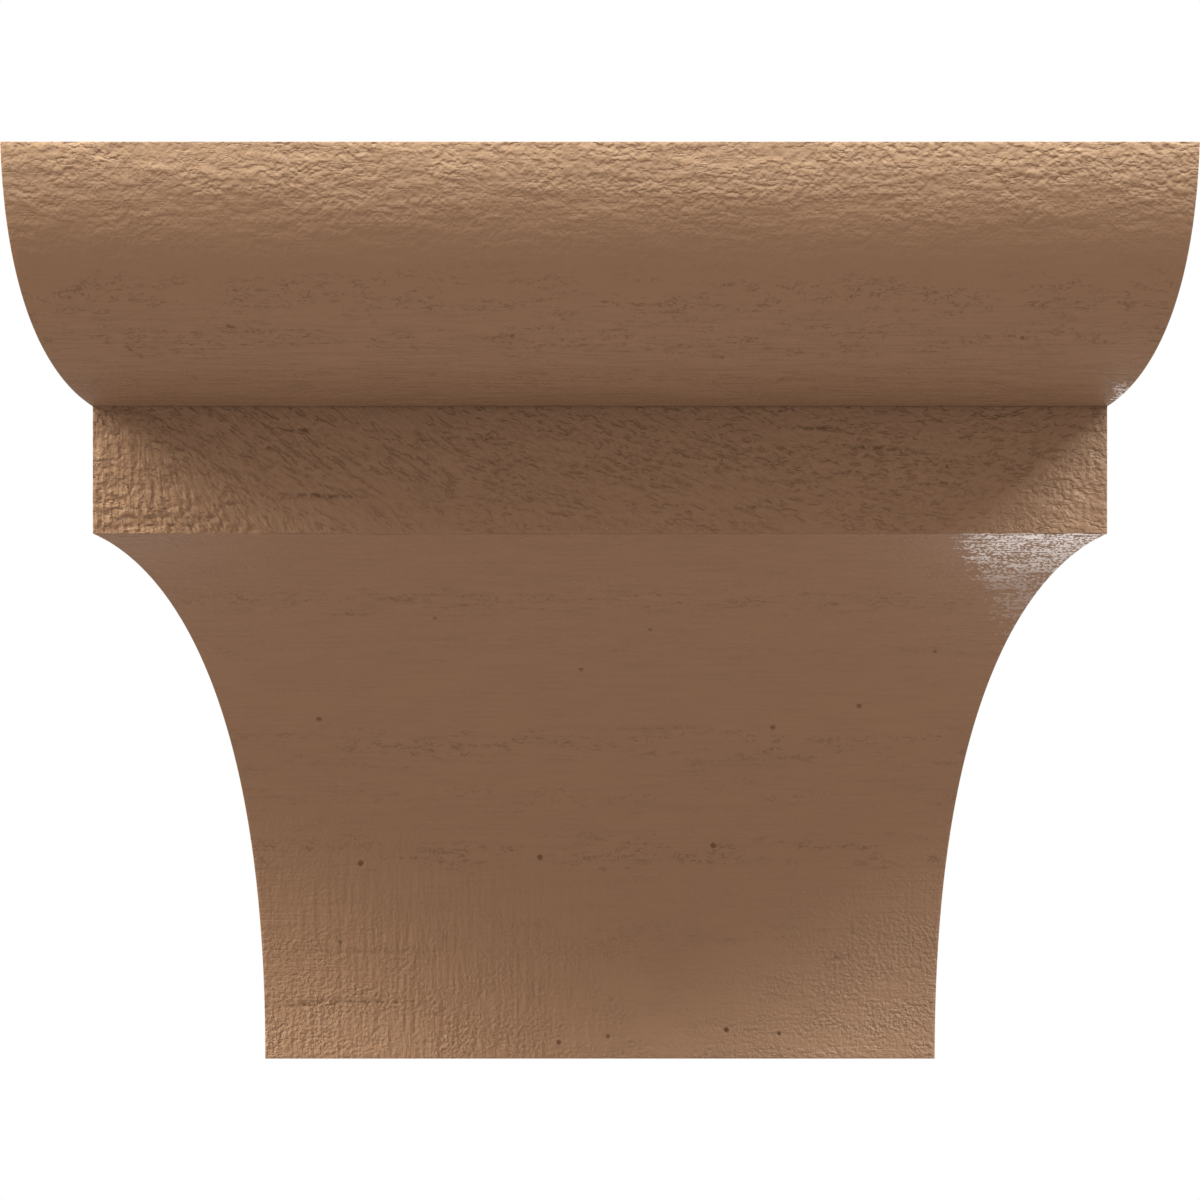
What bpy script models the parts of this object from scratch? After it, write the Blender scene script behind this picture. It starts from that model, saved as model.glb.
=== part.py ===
"""A corbel for a shelf or beam end: an ovolo, a plain band and a cove, worked on one block.

The form is a block sawn twice, as on a band saw: once to the outline seen from the front, and
once to the outline seen from the side. What both cuts leave is the corbel, so its front and its
two sides are moulded, and its top, its underside and its back are flat. Metres, +Z up, the front
faces -Y. The origin is the centre of the back face, which goes against the wall.
"""

import math

import bmesh
import bpy
from mathutils import Vector
from mathutils.geometry import interpolate_bezier

# Overall size of the block
WIDTH = 0.2000
DEPTH = 0.1500

# The three stretches of the moulding, from the top down
OVOLO_HEIGHT = 0.0440
BAND_HEIGHT = 0.0213
COVE_HEIGHT = 0.0885
HEIGHT = OVOLO_HEIGHT + BAND_HEIGHT + COVE_HEIGHT

# Widths seen from the front, below the ovolo
BAND_WIDTH = 0.1698
FOOT_WIDTH = 0.1130

# The front outline's free curves. LEAVE and ARRIVE are the lengths of the two handles that pull
# a curve, where it leaves the top or the foot and where it reaches the band. LEAN and SLOPE are
# the angles of these handles from upright. The cove leaves the foot upright.
OVOLO_LEAVE = 0.0269
OVOLO_LEAN = math.radians(1.8)
OVOLO_ARRIVE = 0.0085
OVOLO_SLOPE = math.radians(57.6)
COVE_LEAVE = 0.0608
COVE_LEAN = 0.0
COVE_ARRIVE = 0.0139
COVE_SLOPE = math.radians(66.6)

# The side outline's arcs. Each leaves upright and turns through this angle to meet the band.
OVOLO_SWEEP = math.radians(75)
COVE_SWEEP = math.radians(74)

# Straight facets along each curved stretch
OVOLO_FACETS = 16
COVE_FACETS = 24

# How far one cut runs past the other's, so that none of their faces coincide
OVERCUT = 0.010

# Facets that meet at less than this angle are shaded as one curve
SMOOTH_UP_TO = math.radians(25)
WELD = 0.000001

COAT_COLOUR = (0.235, 0.130, 0.074, 1.0)
COAT_ROUGHNESS = 0.55

TOP = HEIGHT / 2
BAND_TOP = TOP - OVOLO_HEIGHT
BAND_BOTTOM = BAND_TOP - BAND_HEIGHT
BOTTOM = -HEIGHT / 2


def clear_scene():
    for obj in list(bpy.data.objects):
        bpy.data.objects.remove(obj, do_unlink=True)


def new_collection(name):
    collection = bpy.data.collections.new(name)
    bpy.context.scene.collection.children.link(collection)
    return collection


def handle(length, from_upright):
    """A Bezier handle of this length, leaning outwards from upright by this angle."""
    return Vector((length * math.sin(from_upright), length * math.cos(from_upright), 0.0))


def free_curve(start, start_handle, end_handle, end, facets):
    """The points of a Bezier curve, both ends included, as (across, up)."""
    points = interpolate_bezier(start, start_handle, end_handle, end, facets + 1)
    return [(point.x, point.y) for point in points]


def front_outline():
    """The whole outline seen from the front, clockwise from the top left, as (across, up)."""
    top = Vector((WIDTH / 2, TOP, 0.0))
    under_ovolo = Vector((BAND_WIDTH / 2, BAND_TOP, 0.0))
    over_cove = Vector((BAND_WIDTH / 2, BAND_BOTTOM, 0.0))
    foot = Vector((FOOT_WIDTH / 2, BOTTOM, 0.0))
    ovolo = free_curve(
        top,
        top - handle(OVOLO_LEAVE, OVOLO_LEAN),
        under_ovolo + handle(OVOLO_ARRIVE, OVOLO_SLOPE),
        under_ovolo,
        OVOLO_FACETS,
    )
    cove = free_curve(
        over_cove,
        over_cove - handle(COVE_ARRIVE, COVE_SLOPE),
        foot + handle(COVE_LEAVE, COVE_LEAN),
        foot,
        COVE_FACETS,
    )
    right = ovolo + cove
    left = [(-across, up) for across, up in reversed(right)]
    return right + left


def arc(height, sweep, facets):
    """An arc that leaves upright and turns through sweep over height, as (inwards, along)."""
    radius = height / math.sin(sweep)
    angles = [sweep * step / facets for step in range(facets + 1)]
    return [(radius * (1.0 - math.cos(a)), radius * math.sin(a)) for a in angles]


def side_outline():
    """The outline seen from the side, as (forward from the wall, up).

    It runs past the top and the underside, which are the front outline's to cut.
    """
    ovolo = arc(OVOLO_HEIGHT, OVOLO_SWEEP, OVOLO_FACETS)
    cove = arc(COVE_HEIGHT, COVE_SWEEP, COVE_FACETS)
    band_forward = DEPTH - ovolo[-1][0]
    foot_forward = band_forward - cove[-1][0]
    points = [(0.0, TOP + OVERCUT), (DEPTH, TOP + OVERCUT)]
    points += [(DEPTH - inwards, TOP - along) for inwards, along in ovolo]
    points += [(foot_forward + inwards, BOTTOM + along) for inwards, along in reversed(cove)]
    points += [(foot_forward, BOTTOM - OVERCUT), (0.0, BOTTOM - OVERCUT)]
    return points


def shade(mesh):
    """Smooth along the curves, with crisp arrises."""
    mesh.shade_smooth()
    mesh.set_sharp_from_angle(angle=SMOOTH_UP_TO)


def prism(name, outline, length, rotation, collection):
    """An outline filled and drawn out to a length, half to each side, as a closed mesh object."""
    curve = bpy.data.curves.new(name + "_outline", "CURVE")
    curve.dimensions = "2D"
    curve.fill_mode = "BOTH"
    curve.extrude = length / 2
    spline = curve.splines.new("POLY")
    spline.points.add(len(outline) - 1)
    for point, (across, up) in zip(spline.points, outline):
        point.co = (across, up, 0.0, 1.0)
    spline.use_cyclic_u = True
    drawn = bpy.data.objects.new(name + "_outline", curve)
    drawn.rotation_euler = rotation
    collection.objects.link(drawn)
    bpy.context.view_layer.update()

    evaluated = drawn.evaluated_get(bpy.context.evaluated_depsgraph_get())
    mesh = bpy.data.meshes.new_from_object(evaluated)
    mesh.name = name
    welded = bmesh.new()
    welded.from_mesh(mesh)
    bmesh.ops.remove_doubles(welded, verts=welded.verts, dist=WELD)
    bmesh.ops.recalc_face_normals(welded, faces=welded.faces)
    welded.to_mesh(mesh)
    welded.free()
    shade(mesh)

    solid = bpy.data.objects.new(name, mesh)
    solid.matrix_world = drawn.matrix_world
    collection.objects.link(solid)
    bpy.data.objects.remove(drawn)
    bpy.data.curves.remove(curve)
    return solid


def side_cut(collection):
    """A length of the moulding that the side outline gives, longer than the block is wide."""
    facing_left = (math.radians(90), 0.0, math.radians(-90))
    cutter = prism("side_cut", side_outline(), WIDTH + 2 * OVERCUT, facing_left, collection)
    cutter.hide_render = True
    cutter.display_type = "WIRE"
    return cutter


def keep_what_is_inside(block, cutter):
    """The second cut, made for good so that its new arrises can be shaded."""
    cut = block.modifiers.new("second_cut", "BOOLEAN")
    cut.operation = "INTERSECT"
    cut.solver = "EXACT"
    cut.object = cutter
    bpy.context.view_layer.update()
    evaluated = block.evaluated_get(bpy.context.evaluated_depsgraph_get())
    mesh = bpy.data.meshes.new_from_object(evaluated)
    block.modifiers.remove(cut)
    uncut = block.data
    block.data = mesh
    bpy.data.meshes.remove(uncut)
    mesh.name = block.name
    shade(mesh)


def coat_material():
    """The opaque tan-brown coat that covers the whole block."""
    material = bpy.data.materials.new("tan_brown_coat")
    material.use_nodes = True
    shader = material.node_tree.nodes["Principled BSDF"]
    shader.inputs["Base Color"].default_value = COAT_COLOUR
    shader.inputs["Roughness"].default_value = COAT_ROUGHNESS
    shader.inputs["Metallic"].default_value = 0.0
    material.diffuse_color = COAT_COLOUR
    return material


def corbel(collection, cutter):
    """The block sawn to its front outline, and then to its side outline."""
    facing_front = (math.radians(90), 0.0, 0.0)
    block = prism("corbel", front_outline(), 2 * (DEPTH + OVERCUT), facing_front, collection)
    keep_what_is_inside(block, cutter)
    block.data.materials.clear()
    block.data.materials.append(coat_material())
    return block


def main():
    clear_scene()
    parts = new_collection("rough_sawn_corbel")
    cutters = new_collection("cutters")
    corbel(parts, side_cut(cutters))


main()
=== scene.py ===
# %% [markdown]
# # Dressing a rough-sawn corbel
#
# A corbel is fixed to a wall and carries the end of a shelf or a beam. This one is a single
# moulded block: a rounded head (the ovolo), a plain upright band under it, and a long hollow
# (the cove) that runs down to a narrow foot. Its faces copy rough-sawn timber, under an opaque
# tan-brown satin coat.
#
# The solid corbel is already modelled. This lesson loads it as a frame, builds a finely meshed
# skin over the same form, cuts the sawn relief into that skin, and then makes the coat.

# %% Load the solid corbel
import math

import bmesh
import bpy
import numpy as np
from mathutils import Matrix, Vector, noise
from mathutils.geometry import delaunay_2d_cdt, interpolate_bezier


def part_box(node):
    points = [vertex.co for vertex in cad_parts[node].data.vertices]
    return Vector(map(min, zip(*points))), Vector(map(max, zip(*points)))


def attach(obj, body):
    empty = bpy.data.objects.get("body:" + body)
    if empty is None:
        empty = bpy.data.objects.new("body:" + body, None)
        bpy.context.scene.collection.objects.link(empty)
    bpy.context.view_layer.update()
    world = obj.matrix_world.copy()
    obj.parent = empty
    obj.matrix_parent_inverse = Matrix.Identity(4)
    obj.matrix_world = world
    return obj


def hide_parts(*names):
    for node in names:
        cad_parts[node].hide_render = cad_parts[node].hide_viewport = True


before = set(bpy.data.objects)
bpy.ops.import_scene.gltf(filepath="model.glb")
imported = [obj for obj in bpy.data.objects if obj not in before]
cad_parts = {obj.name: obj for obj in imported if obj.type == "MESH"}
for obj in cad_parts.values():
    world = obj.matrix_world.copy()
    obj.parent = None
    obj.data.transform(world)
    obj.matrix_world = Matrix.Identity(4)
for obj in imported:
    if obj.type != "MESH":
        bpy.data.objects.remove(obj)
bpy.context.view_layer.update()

MM = 0.001
lowest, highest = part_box("corbel")
WIDTH = highest.x - lowest.x
DEPTH = highest.y - lowest.y
TOP = highest.z
BOTTOM = lowest.z
print(f"solid: {WIDTH / MM:.1f} wide, {DEPTH / MM:.1f} deep, {(TOP - BOTTOM) / MM:.1f} mm high")

# %% [markdown]
# ## The camera
#
# The picture looks straight at the front, level, and from far away, so that the sides hardly
# show. A long lens does this. The front edge of the top fills the picture from side to side, so
# the lens follows from the distance: sensor width over lens is picture width over distance.

# %% Set the camera up
VIEW_DISTANCE = 8.0
SENSOR_WIDTH = 36.0
MIDDLE_BELOW_TOP = 0.0764


def front_camera():
    data = bpy.data.cameras.new("front_camera")
    data.sensor_width = SENSOR_WIDTH
    data.lens = SENSOR_WIDTH * VIEW_DISTANCE / WIDTH
    camera = bpy.data.objects.new("front_camera", data)
    camera.location = (0.0, -DEPTH - VIEW_DISTANCE, TOP - MIDDLE_BELOW_TOP)
    camera.rotation_euler = (math.radians(90), 0.0, 0.0)
    bpy.context.scene.collection.objects.link(camera)
    return camera


bpy.context.scene.camera = front_camera()
print(f"lens: {bpy.context.scene.camera.data.lens:.0f} mm")

# %% [markdown]
# ## The moulding's two outlines
#
# The form is a block cut to one outline seen from the front, and to another seen from the side.
# From the front, the ovolo and the cove are free curves, so each is a Bezier curve with a handle
# at either end. From the side, each is a plain arc that starts upright. At any height the corbel
# is therefore a rectangle: so wide, and so deep. Two functions of the height hold the whole form.

# %% Sizes of the moulding
OVOLO_HEIGHT = 0.0440
BAND_HEIGHT = 0.0213
COVE_HEIGHT = TOP - BOTTOM - OVOLO_HEIGHT - BAND_HEIGHT
BAND_TOP = TOP - OVOLO_HEIGHT
BAND_BOTTOM = BAND_TOP - BAND_HEIGHT
BAND_WIDTH = 0.1698
FOOT_WIDTH = 0.1130

OVOLO_LEAVE, OVOLO_LEAN = 0.0269, math.radians(1.8)
OVOLO_ARRIVE, OVOLO_SLOPE = 0.0085, math.radians(57.6)
COVE_LEAVE, COVE_LEAN = 0.0608, 0.0
COVE_ARRIVE, COVE_SLOPE = 0.0139, math.radians(66.6)
OVOLO_SWEEP = math.radians(75)
COVE_SWEEP = math.radians(74)
CURVE_POINTS = 400


def handle(length, from_upright):
    return Vector((length * math.sin(from_upright), length * math.cos(from_upright), 0.0))


def front_curve(upper, upper_handle, lower_handle, lower):
    """A free curve as rows of (half width, height), from the bottom up."""
    points = interpolate_bezier(upper, upper + upper_handle, lower + lower_handle, lower, CURVE_POINTS)
    return [(point.x, point.y) for point in reversed(points)]


cove_curve = front_curve(
    Vector((BAND_WIDTH / 2, BAND_BOTTOM, 0.0)),
    -handle(COVE_ARRIVE, COVE_SLOPE),
    handle(COVE_LEAVE, COVE_LEAN),
    Vector((FOOT_WIDTH / 2, BOTTOM, 0.0)),
)
ovolo_curve = front_curve(
    Vector((WIDTH / 2, TOP, 0.0)),
    -handle(OVOLO_LEAVE, OVOLO_LEAN),
    handle(OVOLO_ARRIVE, OVOLO_SLOPE),
    Vector((BAND_WIDTH / 2, BAND_TOP, 0.0)),
)
outline = np.array(cove_curve + ovolo_curve)


def half_width(height):
    return np.interp(height, outline[:, 1], outline[:, 0])


print(f"half width at the band: {half_width(BAND_TOP) / MM:.1f} mm")

# %% [markdown]
# ## Rows down the front
#
# The skin is a net of rows and columns. A row is one level of the moulding. The rows are spaced
# along the curve of the front, not by height, so that they stay close together where the front
# turns under. They are closest where low light rakes over the surface: at the top, on the band
# and at the foot. A real mould has no knife-sharp arris, so the path is averaged over a short
# window, which eases every edge by a fraction of a millimetre.

# %% Walk down the front
STEP = 0.02 * MM
EASE = 0.16 * MM
RIM = 0.03 * MM
CLEAR_OF_RIM = 1.5 * RIM
ovolo_radius = OVOLO_HEIGHT / math.sin(OVOLO_SWEEP)
cove_radius = COVE_HEIGHT / math.sin(COVE_SWEEP)
ovolo_length = ovolo_radius * OVOLO_SWEEP
cove_length = cove_radius * COVE_SWEEP
front_length = ovolo_length + BAND_HEIGHT + cove_length
band_depth = DEPTH - ovolo_radius * (1 - math.cos(OVOLO_SWEEP))
foot_depth = band_depth - cove_radius * (1 - math.cos(COVE_SWEEP))


def walk(distance):
    """(depth, height) after walking this far down the front from the top edge."""
    if distance < ovolo_length:
        turn = distance / ovolo_radius
        return DEPTH - ovolo_radius * (1 - math.cos(turn)), TOP - ovolo_radius * math.sin(turn)
    if distance < ovolo_length + BAND_HEIGHT:
        return band_depth, BAND_TOP - (distance - ovolo_length)
    turn = (front_length - distance) / cove_radius
    return foot_depth + cove_radius * (1 - math.cos(turn)), BOTTOM + cove_radius * math.sin(turn)


def eased(path, window):
    """Every column of the path averaged over a window of this many steps."""
    half = window // 2
    padded = np.pad(path, ((half, half), (0, 0)), mode="reflect", reflect_type="odd")
    kernel = np.ones(2 * half + 1) / (2 * half + 1)
    return np.column_stack([np.convolve(column, kernel, "valid") for column in padded.T])


walked = np.arange(0.0, front_length, STEP)
path = np.array([walk(distance) for distance in walked])
path = np.column_stack([half_width(path[:, 1]), path])
path = eased(path, round(EASE / STEP))


def front_depth(height):
    """How far forward of the wall the front lies at this height."""
    order = np.argsort(path[:, 2])
    return np.interp(height, path[order, 2], path[order, 1])


print(f"down the front: {front_length / MM:.0f} mm, foot {foot_depth / MM:.1f} mm deep")

# %% Choose the rows
RAKED = 0.026
FOOT_STRETCH = 0.040
ROW_SPACING = (
    (0.0, RAKED, 0.50 * MM),
    (RAKED, ovolo_length, 0.78 * MM),
    (ovolo_length, ovolo_length + BAND_HEIGHT, 0.52 * MM),
    (ovolo_length + BAND_HEIGHT, front_length - FOOT_STRETCH, 0.85 * MM),
    (front_length - FOOT_STRETCH, front_length, 0.62 * MM),
)
BESIDE_AN_ARRIS = (-0.16 * MM, 0.0, 0.16 * MM)
QUARTER_ROUND = [math.radians(degrees) for degrees in (0, 30, 60, 90)]


def row_places():
    """How far down the front each row lies."""
    places = []
    for start, end, spacing in ROW_SPACING:
        steps = round((end - start) / spacing)
        places += [start + (end - start) * step / steps for step in range(1, steps)]
    for arris in (ovolo_length, ovolo_length + BAND_HEIGHT):
        places += [arris + beside for beside in BESIDE_AN_ARRIS]
    return sorted(places)


def rim(side):
    """Rows round the edge of the top (side 1) or the underside (side -1), from the front inwards."""
    edge = TOP if side > 0 else BOTTOM
    wide, deep = (WIDTH / 2, DEPTH) if side > 0 else (FOOT_WIDTH / 2, foot_depth)
    rows = []
    for turn in QUARTER_ROUND:
        inset = RIM * (1 - math.cos(turn))
        rows.append((wide - inset, deep - inset, edge - side * RIM * (1 - math.sin(turn))))
    return rows


places = [place for place in row_places() if CLEAR_OF_RIM < place < front_length - CLEAR_OF_RIM]
front_rows = [tuple(np.interp(place, walked, column) for column in path.T) for place in places]
rows = np.array(rim(1)[::-1] + front_rows + rim(-1))
print(f"rows: {len(rows)}")

# %% [markdown]
# ## Columns round the block
#
# Each row goes round three sides of the block: up the left side from the wall, across the front
# and back along the right side. A column says where its point lies on a row, as shares of the
# row's half width and depth and of the small radius at the two upright arrises. Columns on the
# sides spread out towards the wall, where nobody looks closely.

# %% Choose the columns
FRONT_COLUMNS = 204
SIDE_COLUMNS = 33
SPREAD_BACKWARDS = 1.25
ARRIS_RADIUS = 0.10 * MM


def columns_of_left_side():
    """(across, across by radius, forward, forward by radius), from the wall to the arris."""
    columns = []
    for step in range(SIDE_COLUMNS, 0, -1):
        backwards = (step / SIDE_COLUMNS) ** SPREAD_BACKWARDS
        columns.append((-1.0, -1.0, 1.0 - backwards, 0.0))
    columns += [(-1.0, -math.cos(turn), 1.0, math.sin(turn)) for turn in QUARTER_ROUND]
    return columns


def all_columns():
    left = columns_of_left_side()
    front = [(-1.0 + 2.0 * step / FRONT_COLUMNS, 0.0, 1.0, 1.0) for step in range(1, FRONT_COLUMNS)]
    right = [(-across, -by_radius, *forward) for across, by_radius, *forward in reversed(left)]
    return np.array(left + front + right)


columns = all_columns()
on_side = SIDE_COLUMNS + 1
print(f"columns: {len(columns)}")

# %% [markdown]
# ## The skin
#
# Numpy multiplies every row by every column, which gives all the points at once. Each face then
# joins a point to its neighbours on the next row and the next column. Faces of the front, the
# sides, the flat top and underside, and the back get different material slots.

# %% Make the net of front and sides
FRONT, SIDES, FLATS, BACK = range(4)
wide, deep, level = rows[:, 0:1], rows[:, 1:2], rows[:, 2:3]
across = (wide - ARRIS_RADIUS) * columns[:, 0] + ARRIS_RADIUS * columns[:, 1]
forward = (deep - ARRIS_RADIUS) * columns[:, 2] + ARRIS_RADIUS * columns[:, 3]
points = np.stack([across, -forward, np.broadcast_to(level, across.shape)], axis=-1)


def net_faces(row_count, column_count):
    """Four-sided faces of a net whose points are numbered row by row."""
    corner = np.arange(row_count * column_count).reshape(row_count, column_count)
    return np.stack(
        [corner[:-1, :-1], corner[:-1, 1:], corner[1:, 1:], corner[1:, :-1]], axis=-1
    ).reshape(-1, 4)


mesh = bpy.data.meshes.new("corbel_skin")
mesh.from_pydata(points.reshape(-1, 3).tolist(), [], net_faces(len(rows), len(columns)).tolist())
shell = bmesh.new()
shell.from_mesh(mesh)
shell.verts.ensure_lookup_table()
shell.faces.ensure_lookup_table()
strips = len(columns) - 1
for face in shell.faces:
    strip = face.index % strips
    face.material_index = FRONT if on_side <= strip < strips - on_side else SIDES
print(f"net: {len(shell.faces)} faces")

# %% [markdown]
# ## Top, underside and back
#
# The three flat faces close the skin. Each is filled inside its loop of edge points with a
# Delaunay triangulation, which takes the loop and a grid of loose points inside it. The loose
# points matter: without them the fill would be long splinters, and it could take no relief.

# %% Fill the flat faces
FLAT_SPACING = 3.4 * MM
BACK_SPACING = 4.5 * MM
LOW_MARGIN, HIGH_MARGIN, SIDE_MARGIN = 0.7, 0.5, 0.6
INSIDE_ONLY, SAME_POINT = 1, 1e-6
net = np.arange(len(rows) * len(columns)).reshape(len(rows), len(columns))


def back_edge(row, spacing):
    """New points along the wall, from the right end of this row to its left end."""
    half = rows[row, 0]
    count = round(2 * half / spacing)
    return [
        shell.verts.new((half - 2 * half * step / count, 0.0, rows[row, 2]))
        for step in range(1, count)
    ]


def fill(loop, plane, spacing, reach, slot):
    """Closes a loop of points that lies in a plane, with loose points up to reach(second axis)."""
    first, second = plane
    flat = [Vector((point.co[first], point.co[second])) / MM for point in loop]
    edges = [(here, (here + 1) % len(flat)) for here in range(len(flat))]
    lows = [min(point[axis] for point in flat) for axis in (0, 1)]
    highs = [max(point[axis] for point in flat) for axis in (0, 1)]
    gap = spacing / MM
    inside = []
    for along in np.arange(lows[1] + gap * LOW_MARGIN, highs[1] - gap * HIGH_MARGIN, gap):
        limit = reach(along * MM) / MM - gap * SIDE_MARGIN
        count = max(1, round(2 * limit / gap))
        inside += [Vector((-limit + 2 * limit * step / count, along)) for step in range(count + 1)]
    filled = delaunay_2d_cdt(flat + inside, edges, [], INSIDE_ONLY, SAME_POINT)
    triangles, sources = filled[2:4]
    still = loop[0].co
    made = {}
    for new, source in enumerate(sources):
        if source[0] < len(loop):
            made[new] = loop[source[0]]
            continue
        place = still.copy()
        place[first], place[second] = inside[source[0] - len(loop)] * MM
        made[new] = shell.verts.new(place)
    for triangle in triangles:
        face = shell.faces.new([made[corner] for corner in triangle])
        face.material_index = slot


top_back = back_edge(0, FLAT_SPACING)
foot_back = back_edge(len(rows) - 1, FLAT_SPACING)
shell.verts.ensure_lookup_table()
top_loop = [shell.verts[index] for index in net[0]] + top_back
foot_loop = [shell.verts[index] for index in net[-1]] + foot_back
left_edge = [shell.verts[index] for index in net[:, 0]]
right_edge = [shell.verts[index] for index in net[:, -1]]
back_loop = left_edge + foot_back[::-1] + right_edge[::-1] + top_back
fill(top_loop, (0, 1), FLAT_SPACING, lambda _: WIDTH / 2, FLATS)
fill(foot_loop, (0, 1), FLAT_SPACING, lambda _: FOOT_WIDTH / 2, FLATS)
fill(back_loop, (0, 2), BACK_SPACING, half_width, BACK)
bmesh.ops.recalc_face_normals(shell, faces=shell.faces)
open_edges = [edge for edge in shell.edges if not edge.is_manifold]
print(f"closed skin: {len(shell.faces)} faces, {len(open_edges)} open edges")

# %% [markdown]
# ## Gouges and pinholes
#
# Here and there the saw has pulled out a whole splinter and left a long narrow gouge, and a casting
# traps a few bubbles against its mould, which leave round pits a little under a millimetre across.
# These are too few and too particular for noise, so they are listed, in millimetres: where they
# lie, and how long, steep and deep they are. A real gouge is neither straight nor unbroken, so sums
# of sine waves bend it and break it into pieces. The net is coarser than a pit or a gouge is wide,
# so the faces near each one are divided. They are dug later, with the rest of the relief.

# %% List the gouges of the front
GOUGES = (
    (-50.0, 29.0, 3.0, 0.0, 0.22), (-46.5, 18.0, 8.5, -2.0, 0.24), (-62.0, 16.5, 4.0, 3.0, 0.16),
    (-20.0, 27.5, 5.0, 1.0, 0.16), (8.0, 24.0, 4.0, -3.0, 0.16), (36.0, 29.3, 5.5, 0.0, 0.20),
    (47.0, 26.0, 6.0, -4.0, 0.22), (57.0, 20.0, 5.0, 0.0, 0.16), (25.0, 16.0, 6.0, 2.0, 0.14),
    (-78.0, 42.0, 2.6, -30.0, 0.16), (-62.0, 46.0, 2.2, 0.0, 0.18), (-58.0, 45.5, 1.6, 5.0, 0.18),
    (-33.0, 0.5, 6.0, 0.0, 0.10), (-42.0, -2.0, 5.0, 1.0, 0.10), (-50.0, -68.0, 3.6, 0.0, 0.16),
    (-44.0, -57.0, 1.4, -65.0, 0.18), (-27.0, -69.0, 1.6, 30.0, 0.16), (33.0, -26.0, 5.0, 0.0, 0.10),
    (12.0, -21.0, 7.0, 1.0, 0.08), (-20.0, -24.0, 6.0, -1.0, 0.08), (40.0, -60.0, 3.0, 20.0, 0.12),
    (-55.6, 25.9, 1.5, 0.0, 0.20), (-76.0, 15.8, 9.0, -2.0, 0.14), (-72.0, 14.3, 11.0, 1.0, 0.12),
    (-70.0, 12.9, 12.0, 0.0, 0.12), (-42.0, -67.4, 15.0, 0.3, 0.12), (-40.0, -58.9, 14.0, 0.0, 0.07),
)
GOUGE_WIDTH = 0.24
GOUGE_BEND = 0.085
BENDS = (1.3, 3.1, 7.7)
BREAKS = ((2.4, 0.45), (5.9, 0.36))
WHOLE_SHARE = 0.55


def gouge_places(gouge, place_mm):
    """How far along a gouge each point lies, as a share of its half length, and how far off it."""
    across_mm, up_mm, half_length, degrees, _ = gouge
    slope = math.radians(degrees)
    aside, above = place_mm[:, 0] - across_mm, place_mm[:, 2] - up_mm
    along = aside * math.cos(slope) + above * math.sin(slope)
    off = above * math.cos(slope) - aside * math.sin(slope)
    starts = (across_mm, up_mm, up_mm)
    bend = sum(np.sin(along * wave + start) for wave, start in zip(BENDS, starts))
    return along / half_length, off - GOUGE_BEND * bend


def gouged(place_mm):
    """How deep, in mm, the gouges cut at each of these points of the front."""
    depth = np.zeros(len(place_mm))
    for gouge in GOUGES:
        across_mm, up_mm, half_length, _, deepest = gouge
        along, off = gouge_places(gouge, place_mm)
        along_mm = along * half_length
        waves = zip(BREAKS, (across_mm, up_mm))
        pieces = sum(share * np.sin(along_mm * wave + start) for (wave, share), start in waves)
        broken = np.clip(WHOLE_SHARE + pieces, 0, 1)
        trough = np.exp(-((off / GOUGE_WIDTH) ** 2)) * np.clip(1 - along ** 2, 0, 1) * broken
        depth = np.maximum(depth, deepest * trough)
    return depth


print(f"gouges: {len(GOUGES)}")

# %% Place the pinholes
FRONT_PINHOLES = (
    (-47.3, -19.6, 0.44), (-40.3, -43.9, 0.48), (-10.1, -42.9, 0.46), (19.1, -40.9, 0.46),
    (-6.9, -74.2, 0.40), (1.4, -73.2, 0.36), (21.3, -72.1, 0.44), (30.2, -72.7, 0.36),
    (-14.7, 44.5, 0.36), (20.4, 41.0, 0.34), (70.5, 44.2, 0.38), (-27.7, -2.6, 0.34),
    (8.4, -4.5, 0.34), (-3.2, -11.2, 0.36), (29.1, -21.0, 0.44), (43.6, -17.4, 0.42),
    (56.3, -8.2, 0.32), (58.1, 22.8, 0.28),
)
SIDE_PINHOLES = (
    (-1, 28.0, 51.0, 0.40), (-1, 74.0, 22.0, 0.36), (-1, 21.0, -31.0, 0.44),
    (1, 52.0, 60.0, 0.36), (1, 36.0, -12.0, 0.44),
)
# How dark a pit is painted at its centre, as dirt and as the shade inside it.
PIT_SHADE_AND_DIRT = 0.5
PATCH_RADIUS = 0.95 * MM
PATCH_CUTS = 3
GOUGE_REACH = 0.55
GOUGE_CUTS = 2


def front_place(across_mm, up_mm, radius_mm):
    """The point of the front at this place of the view from the front, and a radius."""
    height = up_mm * MM
    return Vector((across_mm * MM, -front_depth(height), height)), radius_mm * MM


def side_place(side, forward_mm, up_mm, radius_mm):
    """The point of a side, so far forward of the wall and so far up, and a radius."""
    height = up_mm * MM
    return Vector((side * half_width(height), -forward_mm * MM, height)), radius_mm * MM


pinholes = [front_place(*place) for place in FRONT_PINHOLES]
pinholes += [side_place(*place) for place in SIDE_PINHOLES]


def refine(is_near, cuts):
    """Divides the faces whose centres are near, so that they can take a small pit or gouge."""
    centres = np.array([face.calc_center_median() for face in shell.faces])
    shell.faces.ensure_lookup_table()
    near = np.nonzero(is_near(centres))[0].tolist()
    edges = {edge for index in near for edge in shell.faces[index].edges}
    bmesh.ops.subdivide_edges(shell, edges=list(edges), cuts=cuts, use_grid_fill=True)


def near_a_pinhole(centres):
    near = np.zeros(len(centres), dtype=bool)
    for place, _ in pinholes:
        near |= np.linalg.norm(centres - np.array(place), axis=1) < PATCH_RADIUS
    return near


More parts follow.
